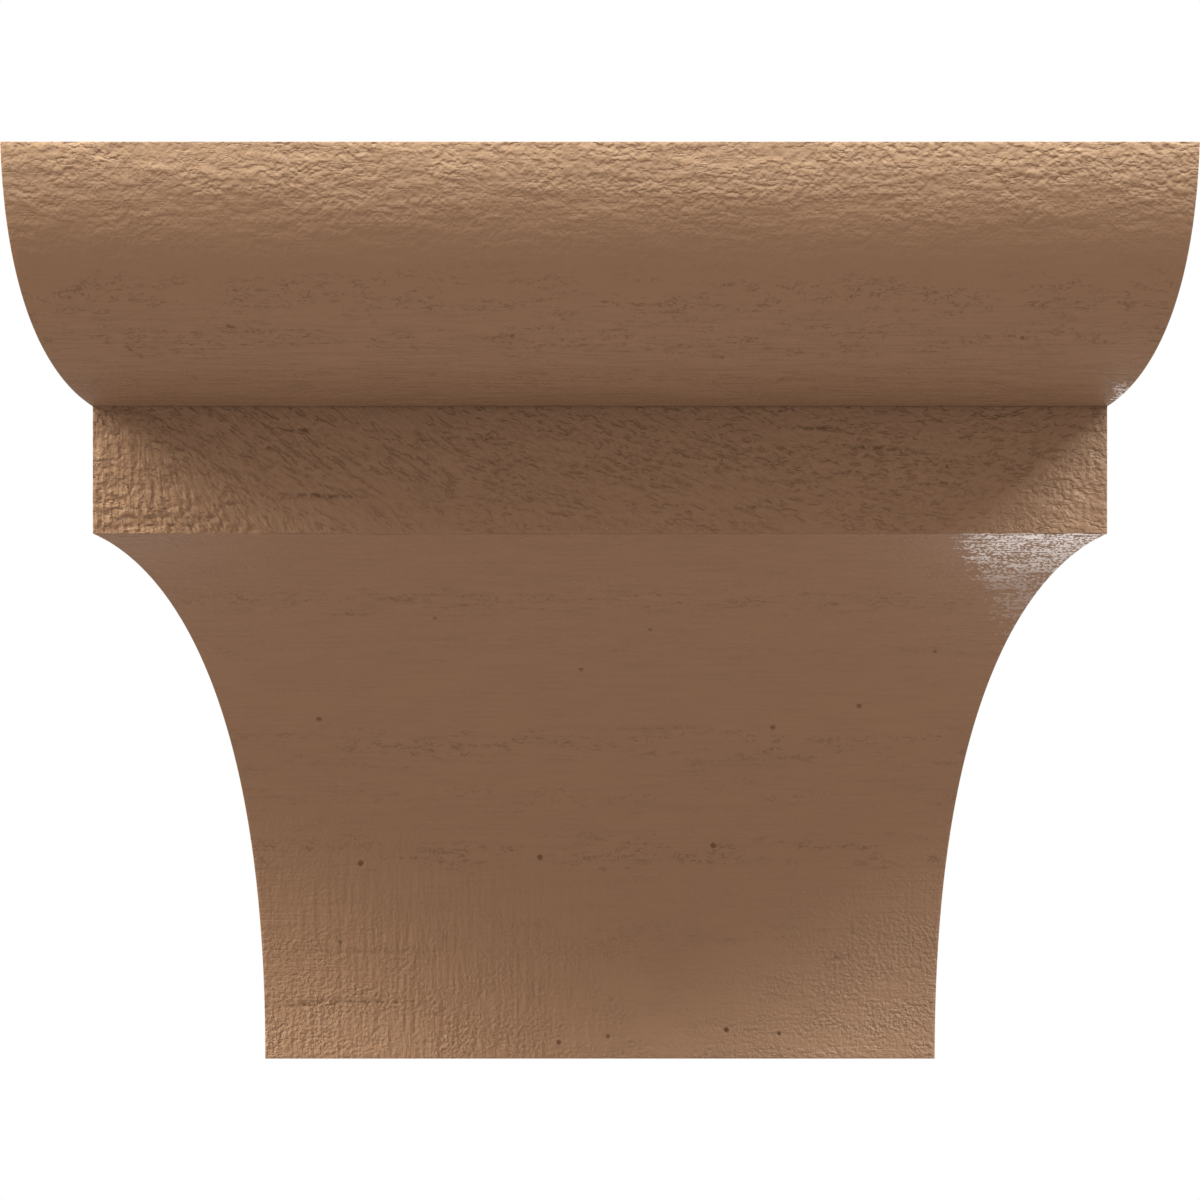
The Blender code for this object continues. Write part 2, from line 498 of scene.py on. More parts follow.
def near_a_gouge(centres):
    near = np.zeros(len(centres), dtype=bool)
    for gouge in GOUGES:
        along, off = gouge_places(gouge, centres / MM)
        near |= (np.abs(along) < 1) & (np.abs(off) < GOUGE_REACH)
    return near & (centres[:, 1] + front_depth(centres[:, 2]) < 2 * ARRIS_RADIUS)


refine(near_a_gouge, GOUGE_CUTS)
refine(near_a_pinhole, PATCH_CUTS)
shell.normal_update()
shell.to_mesh(mesh)
shell.free()
print(f"with {len(pinholes)} pinholes: {len(mesh.polygons)} faces")

# %% [markdown]
# ## The sawn relief
#
# A coarse saw tears timber rather than slicing it. It leaves shallow waves, and on them low lumps,
# drawn out along the grain. The waves are plain noise. The lumps are noise folded at zero, by
# taking its absolute value: it is cut deepest where it crosses zero, so its furrows are narrow and
# its tops are broad. A slow noise lets whole areas swell and sink, and another makes the rows
# wander. All depths are in millimetres.
#
# The grain runs across the front, and from front to back along the sides, so the sides swap two
# axes before they ask for their noise.

# %% Waves, lumps and swells
WAVE_LENGTH, WAVE_HEIGHT, WAVE_RELIEF = 6.0, 1.5, 0.09
LUMP_LENGTH, LUMP_HEIGHT, LUMP_RELIEF = 2.4, 1.4, 0.16
SWELL_LENGTH, SWELL_HEIGHT, SWELL_RELIEF = 24.0, 7.0, 0.10
WANDER_LENGTH, WANDER_HEIGHT, WANDER = 13.0, 6.0, 2.4
LUMP_MIDDLE = 0.3
SIDE_SHARE = 0.6
SEED_SHIFT = Vector((17.0, 31.0, 5.0))


def drawn_out(place, length, height):
    """Noise from -1 to 1 whose blots are this long along the grain and this high across it."""
    return noise.noise(Vector((place.x / length, place.y / height, place.z / height)) + SEED_SHIFT)


def sawn(place):
    """How deep, in mm, the saw cut at a place in mm whose X runs along the grain."""
    wander = WANDER * drawn_out(place, WANDER_LENGTH, WANDER_HEIGHT)
    moved = place + Vector((0.0, wander, wander))
    wave = drawn_out(moved, WAVE_LENGTH, WAVE_HEIGHT)
    lump = LUMP_MIDDLE - abs(drawn_out(moved, LUMP_LENGTH, LUMP_HEIGHT))
    swell = drawn_out(place, SWELL_LENGTH, SWELL_HEIGHT)
    return WAVE_RELIEF * wave + LUMP_RELIEF * lump + SWELL_RELIEF * swell


def sawn_depth(rough):
    """How deep, in mm, the saw cut at every point of the skin."""
    depth = np.zeros(len(places_mm))
    for index, (x, y, z) in enumerate(places_mm):
        side = facing_side[index]
        if side < 1:
            depth[index] += (1 - side) * sawn(Vector((x, y, z)))
        if side > 0:
            depth[index] += side * SIDE_SHARE * sawn(Vector((y, x, z)))
    return depth * rough


print(f"relief: about {WAVE_RELIEF + LUMP_RELIEF + SWELL_RELIEF:.2f} mm where the saw cut at full depth")

# %% [markdown]
# ## How rough each level is
#
# The saw didn't cut all levels alike. The band under the head is the roughest, the top of the head
# comes next, and the hollow is nearly smooth. A table gives an amount at some levels, in
# millimetres above the middle of the block, and numpy's interp fills in what lies between them.
# The first table scales the relief, and the coat uses the others. A torn level is a height, how
# quickly it fades upwards and downwards, and how torn it is.

# %% Tables by level
ROUGH_LEVELS = (
    (-77.0, 0.22), (-64.0, 0.19), (-50.0, 0.18), (-10.0, 0.35), (9.0, 0.45), (11.0, 0.90),
    (12.0, 1.45), (32.0, 1.15), (34.0, 0.45), (50.0, 0.40), (57.0, 0.36), (62.0, 0.56),
    (68.0, 0.82), (72.0, 0.97), (77.0, 0.97),
)
GRAIN_LEVELS = (
    (-77.0, 3.3), (-58.0, 2.4), (-45.0, 1.2), (10.0, 1.4), (12.0, 1.6), (32.8, 1.5), (34.0, 1.6),
    (60.0, 0.8), (77.0, 0.8),
)
LINE_LEVELS = (
    (-77.0, 0.5), (0.0, 1.2), (11.0, 1.4), (12.0, 0.4), (32.8, 0.4), (34.0, 2.4), (45.0, 1.8),
    (52.0, 0.5), (77.0, 0.2),
)
CRACK_LEVELS = (
    (11.6, 0.0), (11.8, 0.8), (22.0, 0.9), (32.8, 1.1), (33.0, 0.0), (60.0, 0.0), (68.0, 0.5),
    (77.0, 0.6),
)
# Painted shade by level: the coat is painted darker under the head and in the crease over the band.
PAINTED_SHADE_LEVELS = (
    (11.6, 0.0), (11.8, 0.04), (27.0, 0.11), (32.5, 0.19), (32.9, 0.40), (33.1, 0.10), (41.0, 0.0),
)
TORN_LEVELS = (
    (51.0, 5.0, 0.85), (44.0, 4.5, 0.80), (37.5, 3.0, 0.6), (24.0, 7.0, 0.75), (0.5, 2.5, 0.8),
    (-7.0, 3.0, 0.4), (-24.0, 4.0, 0.8), (-33.0, 4.0, 0.5), (-42.0, 4.0, 0.8), (-57.0, 4.0, 0.4),
    (-69.0, 3.0, 0.3),
)
TORN_ANYWHERE = 0.15

print(f"roughest level: {max(ROUGH_LEVELS, key=lambda level: level[1])[0]:.0f} mm over the middle")

# %% Read the skin's points
FLAT_ABOVE, FLAT_WITHIN = 0.985, 0.01
NEXT_TO_WALL = 0.5 * MM
TINY = 1e-9
places_m = np.zeros(len(mesh.vertices) * 3)
normals = np.zeros(len(mesh.vertices) * 3)
mesh.vertices.foreach_get("co", places_m)
mesh.vertex_normals.foreach_get("vector", normals)
places_m, normals = places_m.reshape(-1, 3), normals.reshape(-1, 3)
places_mm = places_m / MM
facing_side = normals[:, 0] ** 2 / np.maximum(normals[:, 0] ** 2 + normals[:, 1] ** 2, TINY)
facing_flat = np.clip((np.abs(normals[:, 2]) - FLAT_ABOVE) / FLAT_WITHIN, 0, 1)
on_wall = places_m[:, 1] > -NEXT_TO_WALL
over_band = places_m[:, 2] > BAND_TOP
on_band = (places_m[:, 2] < BAND_TOP) & (places_m[:, 2] > BAND_BOTTOM)


def read_off(table, values):
    """An amount for every value, from a table of (value, amount)."""
    known, amounts = np.array(table).T
    return np.interp(values, known, amounts)


def by_level(table):
    return read_off(table, places_mm[:, 2])


print(f"points: {len(places_m)}")

# %% [markdown]
# ## Moving the points
#
# Each point moves inwards along its own normal. The relief dies away at the arrises and at the
# wall, so the outline stays clean, and the flat faces take only a share of it. The pinholes are
# bowls: the depth of a sphere under the surface, at this distance from its centre.

# %% Move every point of the skin
ABOVE_BACK = 2.0 * MM
CLEAR_OF_ARRIS = 1.2 * MM
AT_ARRIS = 0.15
SIDE_INSET = 0.10
FLAT_SHARE = 0.3
END_OF_BAND = ((0.55, 0.0), (0.95, 1.0))
MIDDLE_SHARE = 0.80
LEFT_END_GAIN = 0.40
RIGHT_END_GAIN = -0.02
FULLY_DARK_GOUGE_MM = 0.12
BOWL_SHADE_AND_DIRT = ((0.0, 0.0), (0.33, PIT_SHADE_AND_DIRT))


def roughness_of_saw():
    """How coarsely the saw cut at every point: by level, and more at the left end of the band."""
    aside = places_mm[:, 0] / (half_width(places_m[:, 2]) / MM)
    to_end = read_off(END_OF_BAND, np.abs(aside))
    gain = np.where(aside < 0, LEFT_END_GAIN, RIGHT_END_GAIN)
    return by_level(ROUGH_LEVELS) * np.where(over_band, 1.0, MIDDLE_SHARE + gain * to_end)


def from_arris():
    """How far, in metres, every point lies from the nearest arris."""
    from_side = half_width(places_m[:, 2]) - np.abs(places_m[:, 0])
    from_front = front_depth(places_m[:, 2]) + places_m[:, 1]
    from_end = np.minimum(TOP - places_m[:, 2], places_m[:, 2] - BOTTOM)
    return np.sort(np.stack([from_side, from_front, from_end]), axis=0)[1]


rough = roughness_of_saw()
gouges = np.where(facing_side < 0.5, gouged(places_mm), 0.0)
cut = (sawn_depth(rough) + gouges) * (1 - (1 - FLAT_SHARE) * facing_flat)
clear = np.clip(from_arris() / CLEAR_OF_ARRIS, 0, 1)
cut = cut * (AT_ARRIS + (1 - AT_ARRIS) * clear) + SIDE_INSET * facing_side * clear
cut *= np.clip(-places_m[:, 1] / ABOVE_BACK, 0, 1)
# The crease mask paints gouges and pits darker, as dirt and as the shade in them.
crease = np.clip(gouges / FULLY_DARK_GOUGE_MM, 0, 1)
for place, radius in pinholes:
    distance = np.linalg.norm(places_m - np.array(place), axis=1) / radius
    bowl = np.sqrt(np.clip(1 - distance ** 2, 0, 1))
    cut += radius / MM * bowl
    crease = np.maximum(crease, read_off(BOWL_SHADE_AND_DIRT, bowl))
mesh.vertices.foreach_set("co", (places_m - normals * cut[:, None] * MM).ravel())
mesh.update()
mesh.calc_loop_triangles()
print(f"cut up to {cut.max():.2f} mm deep, {len(mesh.loop_triangles)} triangles")

# %% [markdown]
# ## Masks for the coat
#
# The coat needs to know more than a place: where it pooled and stayed glossy, where painted shade
# darkens it under the head and along the crease, how torn a level is, and where the saw left
# upright lines. Each of these is a mask, one number for each point of the mesh, kept in an
# attribute that the materials read by name. At the left end of the band the saw lines lean, and
# along the band the grain runs downhill.
# So each point also carries how far across the saw lines and how far across the grain it lies.

# %% Where the coat pooled
POOL_EDGE = ((-24.0, 70.0), (-7.0, 64.0), (2.0, 60.5), (11.6, 54.0))
BEYOND_POOL_EDGE = ((0.0, 0.0), (7.0, 1.0))
POOL_LEVELS = ((-27.0, 0.0), (-6.0, 1.0))
CORNER_ACROSS = ((84.5, 0.0), (86.5, 1.0))
CORNER_LEVELS = ((36.0, 1.0), (39.0, 0.0))


def glossy():
    """1 where the coat pooled, in the right end of the cove and just over the band, or else 0."""
    across = places_mm[:, 0]
    pool = read_off(BEYOND_POOL_EDGE, across - by_level(POOL_EDGE)) * by_level(POOL_LEVELS)
    pool = np.where(places_m[:, 2] < BAND_BOTTOM, pool, 0.0)
    corner = np.where(over_band, read_off(CORNER_ACROSS, across) * by_level(CORNER_LEVELS), 0.0)
    return np.where(on_wall, 0.0, np.maximum(pool, corner) * (1 - facing_side))


print(f"glossy points: {np.count_nonzero(glossy())}")

# %% Where the saw left lines
LINES_ON_BAND = ((-76.0, 1.2), (-45.0, 0.25))
LINES_BELOW = ((-54.0, 1.0), (-30.0, 0.0))
LINES_ON_FOOT = ((-56.0, 0.6), (-32.0, 1.6), (-14.0, 1.4), (12.0, 0.4))
LINES_ANYWHERE = 0.15
LINES_LEAN = ((-78.0, 0.0), (-58.0, 0.7))


def saw_marks():
    """How strong the saw lines are at every point, and how far across them it lies, in mm."""
    x, y, z = places_mm.T
    across = np.where((facing_side < 0.5) & ~on_wall, x, y)
    on_foot = read_off(LINES_BELOW, z) * read_off(LINES_ON_FOOT, x)
    strength = np.maximum(LINES_ANYWHERE, np.where(on_band, read_off(LINES_ON_BAND, x), on_foot))
    lean = np.where(on_band, read_off(LINES_LEAN, x), 0.0)
    return np.where(over_band, 0.0, strength), across + lean * (z - BAND_BOTTOM / MM)


print(f"strongest saw lines: {saw_marks()[0].max():.1f}")

# %% Where the grain runs downhill
GRAIN_DROP = (
    (-85.0, 0.0), (-70.0, 4.0), (-25.0, 30.0), (30.0, 46.0), (60.0, 49.0), (85.0, 49.0),
)


def across_grain():
    """How far across the grain every point lies, in mm. Off the band this is its level."""
    drop = np.where(on_band, read_off(GRAIN_DROP, places_mm[:, 0]), 0.0)
    return places_mm[:, 2] + drop


print(f"grain drops {GRAIN_DROP[-1][1]:.0f} mm along the band")

# %% Where the grain is torn
def torn_mask():
    """How torn every point is: each torn level fades upwards and downwards."""
    torn = np.full(len(places_mm), TORN_ANYWHERE)
    for up_mm, half_height, amount in TORN_LEVELS:
        away = (places_mm[:, 2] - up_mm) / half_height
        torn = np.maximum(torn, amount * np.exp(-(away ** 2)))
    return torn


print(f"torn levels: {len(TORN_LEVELS)}")

# %% Keep the masks on the mesh
saw_strength, across_saw = saw_marks()
masks = {
    "crease": crease,
    "rough": rough,
    "grain": by_level(GRAIN_LEVELS),
    "lines": by_level(LINE_LEVELS),
    "cracked": by_level(CRACK_LEVELS),
    "torn": torn_mask(),
    "saw": saw_strength,
    "across_saw": across_saw,
    "across_grain": across_grain(),
    "gloss": glossy(),
    # painted shade under the head and along the crease
    "painted_shade_under_head": by_level(PAINTED_SHADE_LEVELS) * (1 - facing_side),
}
for name, amounts in masks.items():
    mesh.attributes.new(name, "FLOAT", "POINT").data.foreach_set("value", amounts)
print(f"masks: {', '.join(masks)}")

# %% [markdown]
# ## Smooth faces, crisp arrises
#
# Smooth shading hides the facets of the net. Where two faces meet at a right angle, as along the
# wall, it would round the arris off with a false shadow, so such edges are marked as sharp.

# %% Shade the skin
CRISP_ABOVE = math.radians(55)
mesh.shade_smooth()
mesh.set_sharp_from_angle(angle=CRISP_ABOVE)
print(f"sharp above {math.degrees(CRISP_ABOVE):.0f} degrees")

# %% [markdown]
# ## The floor, the sky and the lamps
#
# The photograph has a pure white ground and even light from all sides, so the world is plain
# white. Four soft lamps add what the even light leaves out. A high one rakes down over the ovolo.
# Two at the sides reach under the head, to the ends of the band and the corners of the foot. A weak
# one, low behind the right side, makes the gloss in the upper corner of the cove.
#
# Lamps that rake a face from above hit the flat top nearly square on, and would burn it out. A
# photographer stretches a silk over such a face, a thin white cloth that lets a third of the light
# through. This one lies just above the top, and the camera doesn't see it.

# %% Floor, silk and sky
FLOOR_DROP = 0.45
FLOOR_SIZE = 3.0
FLOOR_GLOW = 0.30
SILK_ABOVE = 0.6 * MM
SILK_LETS_THROUGH = (0.34, 0.30, 0.28, 1.0)
WHITE = (1.0, 1.0, 1.0, 1.0)


def staged_floor():
    bpy.ops.mesh.primitive_plane_add(size=FLOOR_SIZE, location=(0.0, 0.0, -FLOOR_DROP))
    floor = bpy.context.object
    floor.name = "floor"
    paint = bpy.data.materials.new("pale_floor")
    paint.use_nodes = True
    shader = paint.node_tree.nodes["Principled BSDF"]
    shader.inputs["Base Color"].default_value = (0.8, 0.8, 0.8, 1.0)
    shader.inputs["Roughness"].default_value = 0.9
    shader.inputs["Emission Color"].default_value = WHITE
    shader.inputs["Emission Strength"].default_value = FLOOR_GLOW
    floor.data.materials.append(paint)


def silk_over_top():
    bpy.ops.mesh.primitive_plane_add(size=1.0, location=(0.0, -DEPTH / 2, TOP + SILK_ABOVE))
    silk = bpy.context.object
    silk.name = "silk"
    silk.scale = (WIDTH, DEPTH, 1.0)
    silk.visible_camera = False
    cloth = bpy.data.materials.new("thin_silk")
    cloth.use_nodes = True
    tree = cloth.node_tree
    tree.nodes.remove(tree.nodes["Principled BSDF"])
    clear = tree.nodes.new("ShaderNodeBsdfTransparent")
    clear.inputs["Color"].default_value = SILK_LETS_THROUGH
    tree.links.new(clear.outputs[0], tree.nodes["Material Output"].inputs["Surface"])
    silk.data.materials.append(cloth)


def white_world(strength):
    world = bpy.data.worlds.new("white_studio")
    world.use_nodes = True
    background = world.node_tree.nodes["Background"]
    background.inputs["Color"].default_value = WHITE
    background.inputs["Strength"].default_value = strength
    bpy.context.scene.world = world


staged_floor()
silk_over_top()
white_world(1.0)
bpy.context.scene.view_settings.view_transform = "Standard"
print(f"floor {FLOOR_DROP:.2f} m down, silk {SILK_ABOVE / MM:.1f} mm over the top")

# %% The lamps
ACROSS = Vector((1.0, 0.0, 0.0))
HEAD = (0.0, -DEPTH, TOP)
BAND = (0.0, -band_depth, BAND_TOP)
COVE_CORNER = (0.075, -0.112, 0.008)
lit_by_lamps = bpy.data.collections.new("lit_by_lamps")


def lamp(name, aim, towards, distance, wide, tall, watts, colour):
    """A lamp of this width across the scene, at this distance from the point it aims at."""
    data = bpy.data.lights.new(name, "AREA")
    data.shape = "RECTANGLE"
    data.size = wide
    data.size_y = tall
    data.energy = watts
    data.color = colour
    made = bpy.data.objects.new(name, data)
    backwards = Vector(towards).normalized()
    sideways = (ACROSS - backwards * ACROSS.dot(backwards)).normalized()
    upwards = backwards.cross(sideways)
    made.location = Vector(aim) + backwards * distance
    made.rotation_euler = Matrix((sideways, upwards, backwards)).transposed().to_euler()
    made.visible_camera = False
    made.light_linking.receiver_collection = lit_by_lamps
    bpy.context.scene.collection.objects.link(made)


lamp("high_lamp", HEAD, (0.0, -0.29, 1.0), 0.9, 0.20, 0.16, 14.0, (0.57, 1.0, 1.17))
lamp("left_lamp", BAND, (-1.2, -0.27, 1.0), 0.9, 0.60, 0.34, 46.0, (0.88, 1.0, 1.0))
lamp("right_lamp", BAND, (0.95, -0.30, 1.0), 0.9, 0.36, 0.30, 35.0, (0.78, 1.0, 1.18))
lamp("gloss_lamp", COVE_CORNER, (0.16, 0.825, -0.555), 0.50, 0.20, 0.36, 0.40, WHITE[:3])
print(f"lamps: {len(bpy.data.lights)}")

# %% [markdown]
# ## The coat
#
# The coat is one opaque tan-brown, but it isn't flat. Fine bumps that the net can't carry, cracks
# between them, saw lines down the face, hair-thin lines along the grain and specks where the grain
# is torn all show, and every recess is painted a little darker, as dirt and as painted shade.
# Painted shade also darkens the coat under the head and along the crease. The front, the sides,
# the flat faces and the back need the same effects in different amounts, so each effect is a node
# group, and each material sets its own values. First come a few short helpers, which keep the node
# code readable.

# %% Helpers for nodes
VALUE, VECTOR, COLOUR = "NodeSocketFloat", "NodeSocketVector", "NodeSocketColor"
ORIGIN = (0.0, 0.0, 0.0)


def node(tree, kind, inputs=(), **settings):
    """A new node with these settings. A socket given as an input is linked, a value is set."""
    made = tree.nodes.new(kind)
    place = len(tree.nodes)
    made.location = (220 * (place % 6), -260 * (place // 6))
    for name, value in settings.items():
        setattr(made, name, value)
    for name, value in dict(inputs).items():
        if isinstance(value, bpy.types.NodeSocket):
            tree.links.new(value, made.inputs[name])
        else:
            made.inputs[name].default_value = value
    return made


def maths(tree, operation, first, second=0.0, clamp=False):
    made = node(tree, "ShaderNodeMath", {0: first, 1: second}, operation=operation, use_clamp=clamp)
    return made.outputs[0]


def times(tree, first, second):
    return maths(tree, "MULTIPLY", first, second)


def ramp(tree, value, start, end):
    """0 below start, 1 above end, and a smooth step between."""
    inputs = {"Value": value, "From Min": start, "From Max": end}
    return node(tree, "ShaderNodeMapRange", inputs, interpolation_type="SMOOTHSTEP").outputs[0]


def falling(tree, value, start, end):
    """The other way round: 1 below start and 0 above end."""
    return maths(tree, "SUBTRACT", 1.0, ramp(tree, value, start, end))


def shifted(tree, place, axes):
    """A place moved along each named axis by its own amount."""
    shift = node(tree, "ShaderNodeCombineXYZ", axes).outputs[0]
    return node(tree, "ShaderNodeVectorMath", {0: place, 1: shift}, operation="ADD").outputs[0]


def new_group(name, inputs, outputs):
    """An empty group, with the sockets that its nodes read and feed."""
    group = bpy.data.node_groups.new(name, "ShaderNodeTree")
    for socket, kind, value in inputs:
        made = group.interface.new_socket(name=socket, in_out="INPUT", socket_type=kind)
        made.default_value = value
    for socket, kind in outputs:
        group.interface.new_socket(name=socket, in_out="OUTPUT", socket_type=kind)
    entry = group.nodes.new("NodeGroupInput")
    leave = group.nodes.new("NodeGroupOutput")
    leave.location = (1500, 0)
    return group, entry.outputs, leave.inputs


def use_group(tree, group, inputs):
    """The outputs of a group that is placed in a tree with its own values."""
    return node(tree, "ShaderNodeGroup", inputs, node_tree=group).outputs


# %% [markdown]
# ### Stretched noise
#
# Almost everything a saw leaves is noise that is longer one way than the other. This group divides
# a place by a size in millimetres for each axis, and reads a noise there. Long across and thin
# upwards gives lines along the grain. The other way round gives saw lines.

# %% Group: stretched noise
def stretched_noise_group():
    inputs = [("Place", VECTOR, ORIGIN), ("Size", VECTOR, (1, 1, 1)), ("Detail", VALUE, 2.0)]
    group, given, out = new_group("Stretched_Noise", inputs, [("Value", VALUE)])
    sizes = {0: given["Place"], 1: given["Size"]}
    scaled = node(group, "ShaderNodeVectorMath", sizes, operation="DIVIDE").outputs[0]
    read = {"Vector": scaled, "Scale": 1.0, "Detail": given["Detail"]}
    group.links.new(node(group, "ShaderNodeTexNoise", read).outputs[0], out["Value"])
    return group


STRETCHED_NOISE = stretched_noise_group()


def noise_at(tree, place, size, detail):
    return use_group(tree, STRETCHED_NOISE, {"Place": place, "Size": size, "Detail": detail})["Value"]


def noise_about_zero(tree, place, size, detail):
    return maths(tree, "SUBTRACT", noise_at(tree, place, size, detail), 0.5)


# %% [markdown]
# ### Fine sawn bumps
#
# These are the bumps that the net is too coarse for. The noise is read twice: first for how high
# the spot is, and then again at a place moved up or down by that much. So each bump leans over the
# one below it, and its underside is steep and dark, as a lifted fibre's is. A slow noise makes the
# rows wander, and another makes some areas rougher. The lowest parts come out as creases.

# %% Group: sawn bumps
ROW_SIZE = (7.0, 3.0, 3.0)
AREA_SIZE = (14.0, 7.0, 7.0)
BUMP_DETAIL = 1.3
BUMP_RANGE = (0.25, 0.68)
FURROW_RANGE = (0.25, 0.40)
AREA_RANGE = (0.38, 0.62)
CALM_AREA, ROUGHER_BY = 0.6, 0.8


def sawn_bumps_group():
    inputs = [("Place", VECTOR, ORIGIN), ("Size", VECTOR, (1.35, 1.1, 1.1))]
    inputs += [("Wander", VALUE, 1.3), ("Lean", VALUE, 0.5)]
    group, given, out = new_group("Sawn_Bumps", inputs, [("Height", VALUE), ("Crease", VALUE)])
    lift = times(group, noise_at(group, given["Place"], ROW_SIZE, 0.0), given["Wander"])
    moved = shifted(group, given["Place"], {"Y": lift, "Z": lift})
    upright = noise_about_zero(group, moved, given["Size"], BUMP_DETAIL)
    leaning = shifted(group, moved, {"Z": times(group, upright, given["Lean"])})
    lumps = noise_at(group, leaning, given["Size"], BUMP_DETAIL)
    rougher = ramp(group, noise_at(group, given["Place"], AREA_SIZE, 1.0), *AREA_RANGE)
    strength = maths(group, "ADD", times(group, rougher, ROUGHER_BY), CALM_AREA)
    group.links.new(times(group, ramp(group, lumps, *BUMP_RANGE), strength), out["Height"])
    group.links.new(falling(group, lumps, *FURROW_RANGE), out["Crease"])
    return group


SAWN_BUMPS = sawn_bumps_group()

# %% [markdown]
# ### Torn specks
#
# These are small curls and dashes, where a fibre came away, and the coat paints them dark, as dirt
# and as shade. A noise crosses its middle value along thin winding lines, so the places close to
# that value are curls. A second noise breaks the curls up, and a third gathers them into groups.
# The more torn a place is, the more of them it has. In a larger size, the same group makes the
# cracks between the bumps.

# %% Group: torn specks
BREAK_SIZE = (2.4, 0.9, 0.9)
GROUP_SIZE = (9.0, 2.4, 2.4)
CURL_RANGE = (0.012, 0.065)
BREAK_RANGE = (0.45, 0.57)
GROUP_RANGE = (0.50, 0.74)
TORN_GAIN = 0.2


def torn_specks_group():
    inputs = [("Place", VECTOR, ORIGIN), ("Torn", VALUE, 1.0), ("Size", VECTOR, (1.2, 0.7, 0.7))]
    group, given, out = new_group("Torn_Specks", inputs, [("Specks", VALUE)])
    middle = noise_about_zero(group, given["Place"], given["Size"], 1.5)
    curls = falling(group, maths(group, "ABSOLUTE", middle), *CURL_RANGE)
    broken = ramp(group, noise_at(group, given["Place"], BREAK_SIZE, 2.0), *BREAK_RANGE)
    slow = noise_at(group, given["Place"], GROUP_SIZE, 1.0)
    gain = times(group, given["Torn"], TORN_GAIN)
    gathered = ramp(group, maths(group, "ADD", slow, gain), *GROUP_RANGE)
    specks = times(group, times(group, curls, broken), gathered)
    group.links.new(times(group, specks, given["Torn"]), out["Specks"])
    return group


TORN_SPECKS = torn_specks_group()

# %% [markdown]
# ### Painted shade, dirt and tone
#
# Creases and specks are painted darker, partly for the dirt they hold and partly as painted shade,
# where less light reaches. The same mix paints shade in black under the head. Over a hand's breadth,
# the coat also drifts a little lighter and darker, and a little more and less glossy.

# %% Group: painted shade and dirt in the recesses
def recess_shade_and_dirt_group():
    inputs = [("Color", COLOUR, WHITE), ("Recess", VALUE, 0.0)]
    inputs += [("Dark_Colour", COLOUR, (0, 0, 0, 1)), ("Amount", VALUE, 0.5)]
    group, given, out = new_group("Recess_Shade_And_Dirt", inputs, [("Color", COLOUR)])
    share = maths(group, "MULTIPLY", given["Recess"], given["Amount"], clamp=True)
    mixed = node(group, "ShaderNodeMix", {"Factor": share}, data_type="RGBA")
    group.links.new(given["Color"], mixed.inputs[6])
    group.links.new(given["Dark_Colour"], mixed.inputs[7])
    group.links.new(mixed.outputs[2], out["Color"])
    return group


RECESS_SHADE_AND_DIRT = recess_shade_and_dirt_group()

# %% Group: drifting tone
DRIFT_SIZE = (60.0, 22.0, 22.0)


def coat_tone_group():
    inputs = [("Color", COLOUR, WHITE), ("Place", VECTOR, ORIGIN)]
    inputs += [("Drift", VALUE, 0.06), ("Roughness", VALUE, 0.5)]
    group, given, out = new_group("Coat_Tone", inputs, [("Color", COLOUR), ("Roughness", VALUE)])
    slow = noise_about_zero(group, given["Place"], DRIFT_SIZE, 2.0)
    drift = times(group, slow, given["Drift"])
    lightness = {"Value": maths(group, "ADD", drift, 1.0), "Color": given["Color"]}
    group.links.new(node(group, "ShaderNodeHueSaturation", lightness).outputs[0], out["Color"])
    group.links.new(maths(group, "ADD", given["Roughness"], drift), out["Roughness"])
    return group


COAT_TONE = coat_tone_group()

# %% [markdown]
# ### A net of gloss
#
# Where the coat pooled, it dried glossy, but only on the high spots. So the gloss is a net of short
# streaks that lie in thin layers, thick where the mask is 1 and dissolving towards its edge.

# %% Group: net of gloss
LAYER_SIZE = (7.0, 0.6, 0.6)
LAYER_SHARE = 0.6
POOLED_GAIN = 0.32
GLOSS_RANGE = (1.09, 1.17)
FULL_GLOSS = 0.95


def gloss_net_group():
    inputs = [("Place", VECTOR, ORIGIN), ("Pooled", VALUE, 0.0), ("Size", VECTOR, (0.55, 0.6, 0.6))]
    group, given, out = new_group("Gloss_Net", inputs, [("Gloss", VALUE)])
    streaks = noise_at(group, given["Place"], given["Size"], 3.0)
    layers = times(group, noise_at(group, given["Place"], LAYER_SIZE, 2.0), LAYER_SHARE)
    raised = maths(group, "ADD", streaks, layers)
    raised = maths(group, "ADD", raised, times(group, given["Pooled"], POOLED_GAIN))
    group.links.new(times(group, ramp(group, raised, *GLOSS_RANGE), FULL_GLOSS), out["Gloss"])
    return group


GLOSS_NET = gloss_net_group()

# %% [markdown]
# ### All the fine relief together
#
# One more group adds the heights up, each scaled by its amount in millimetres and by its mask. It
# also says how much of a recess every place is, which the coat paints darker, as dirt and as shade:
# specks, cracks, gouges, pits, hair-thin lines and the furrows between the bumps. Under the head
# the furrows get more of this painted shade. The distance across the saw lines, or across the
# grain, takes the place of the plain coordinate.

# %% Group: fine relief
GRAIN_SIZE = (0.60, 0.60, 0.60)
PATCH_SIZE = (9.0, 5.0, 5.0)
PATCH_RANGE = (0.36, 0.64)
CALM_PATCH = 0.5
LINE_SIZE = (12.0, 0.32, 0.32)
LINE_RANGE = (0.36, 0.50)
SAW_SIZE = (0.9, 40.0, 7.0)
CRACK_SIZE = (2.4, 1.0, 1.0)
# How strongly each kind of recess is painted darker, as dirt and as shade.
SHADE_AND_DIRT_BETWEEN_BUMPS = 0.2
CREASE_SHADE_UNDER_HEAD = 1.5
SHADE_AND_DIRT_IN_CRACKS = 0.6
SHADE_AND_DIRT_IN_LINES = 0.14


